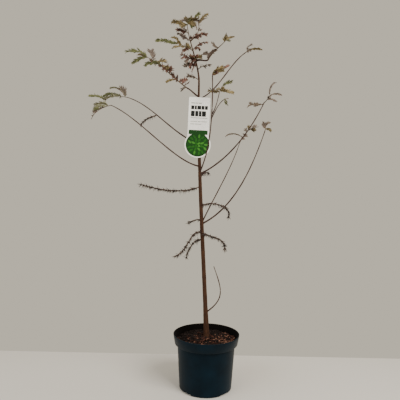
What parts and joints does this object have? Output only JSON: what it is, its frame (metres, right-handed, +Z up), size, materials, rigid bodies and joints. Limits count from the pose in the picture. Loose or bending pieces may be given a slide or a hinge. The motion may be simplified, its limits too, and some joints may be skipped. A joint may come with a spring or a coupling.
{
  "type": "potted bald cypress tree",
  "caption": "Young bald cypress in a round plastic nursery pot, with a slim leaning trunk, long thin boughs, drooping sprays of needles and a hanging care label.",
  "frame": {"origin": "centre of the pot's flat underside, on the surface that it stands on", "axes": "+Z up along the tree, -Y the side with the care label, +X to the right seen from there"},
  "size_m": [0.6051, 0.3736, 1.1113],
  "materials": {
    "pot_plastic": "moulded black-green plastic, slightly dusty",
    "bark_compost": "loose red-brown bark chips",
    "trunk_bark": "thin red-brown bark with fine lengthwise strips",
    "bough_bark": "smooth young bark, brown to grey-green",
    "needles": "soft flat needles, green turning olive, gold and red-brown",
    "wilted_needles": "dried dark brown needles",
    "label_card": "thin white printed plastic card"
  },
  "bodies": {
    "root": {"bough_back": "bough_bark", "bough_left_high": "bough_bark", "bough_left_low": "bough_bark", "bough_left_top": "bough_bark", "bough_right_high": "bough_bark", "bough_right_low": "bough_bark", "bough_right_mid": "bough_bark", "bough_right_thin": "bough_bark", "bough_right_top": "bough_bark", "bough_upright": "bough_bark", "compost": "bark_compost", "fork_upright_high": "bough_bark", "fork_upright_low": "bough_bark", "label": "label_card", "leader_shoot_01": "needles", "leader_shoot_02": "needles", "leader_shoot_03": "needles", "leader_shoot_04": "needles", "leader_shoot_05": "needles", "leader_shoot_06": "needles", "leader_shoot_07": "needles", "leader_shoot_08": "needles", "leader_shoot_09": "needles", "leader_shoot_10": "needles", "leader_shoot_11": "needles", "leader_shoot_12": "needles", "leader_top": "needles", "needles_back": "needles", "needles_fork_high": "needles", "needles_fork_low": "needles", "needles_left_high": "needles", "needles_left_low": "needles", "needles_left_top": "needles", "needles_right_high": "needles", "needles_right_low": "needles", "needles_right_mid_back": "needles", "needles_right_mid_inner": "needles", "needles_right_mid_side": "needles", "needles_right_mid_tip": "needles", "needles_right_thin": "needles", "needles_right_top": "needles", "needles_upright": "needles", "pot": "pot_plastic", "shoot_left_high": "wilted_needles", "shoot_left_long": "wilted_needles", "shoot_left_low": "wilted_needles", "shoot_left_lowest": "wilted_needles", "shoot_left_small": "wilted_needles", "shoot_right_high": "wilted_needles", "shoot_right_low": "wilted_needles", "shoot_right_mid": "wilted_needles", "trunk": "trunk_bark", "twig_low": "bough_bark"}
  },
  "joints": []
}
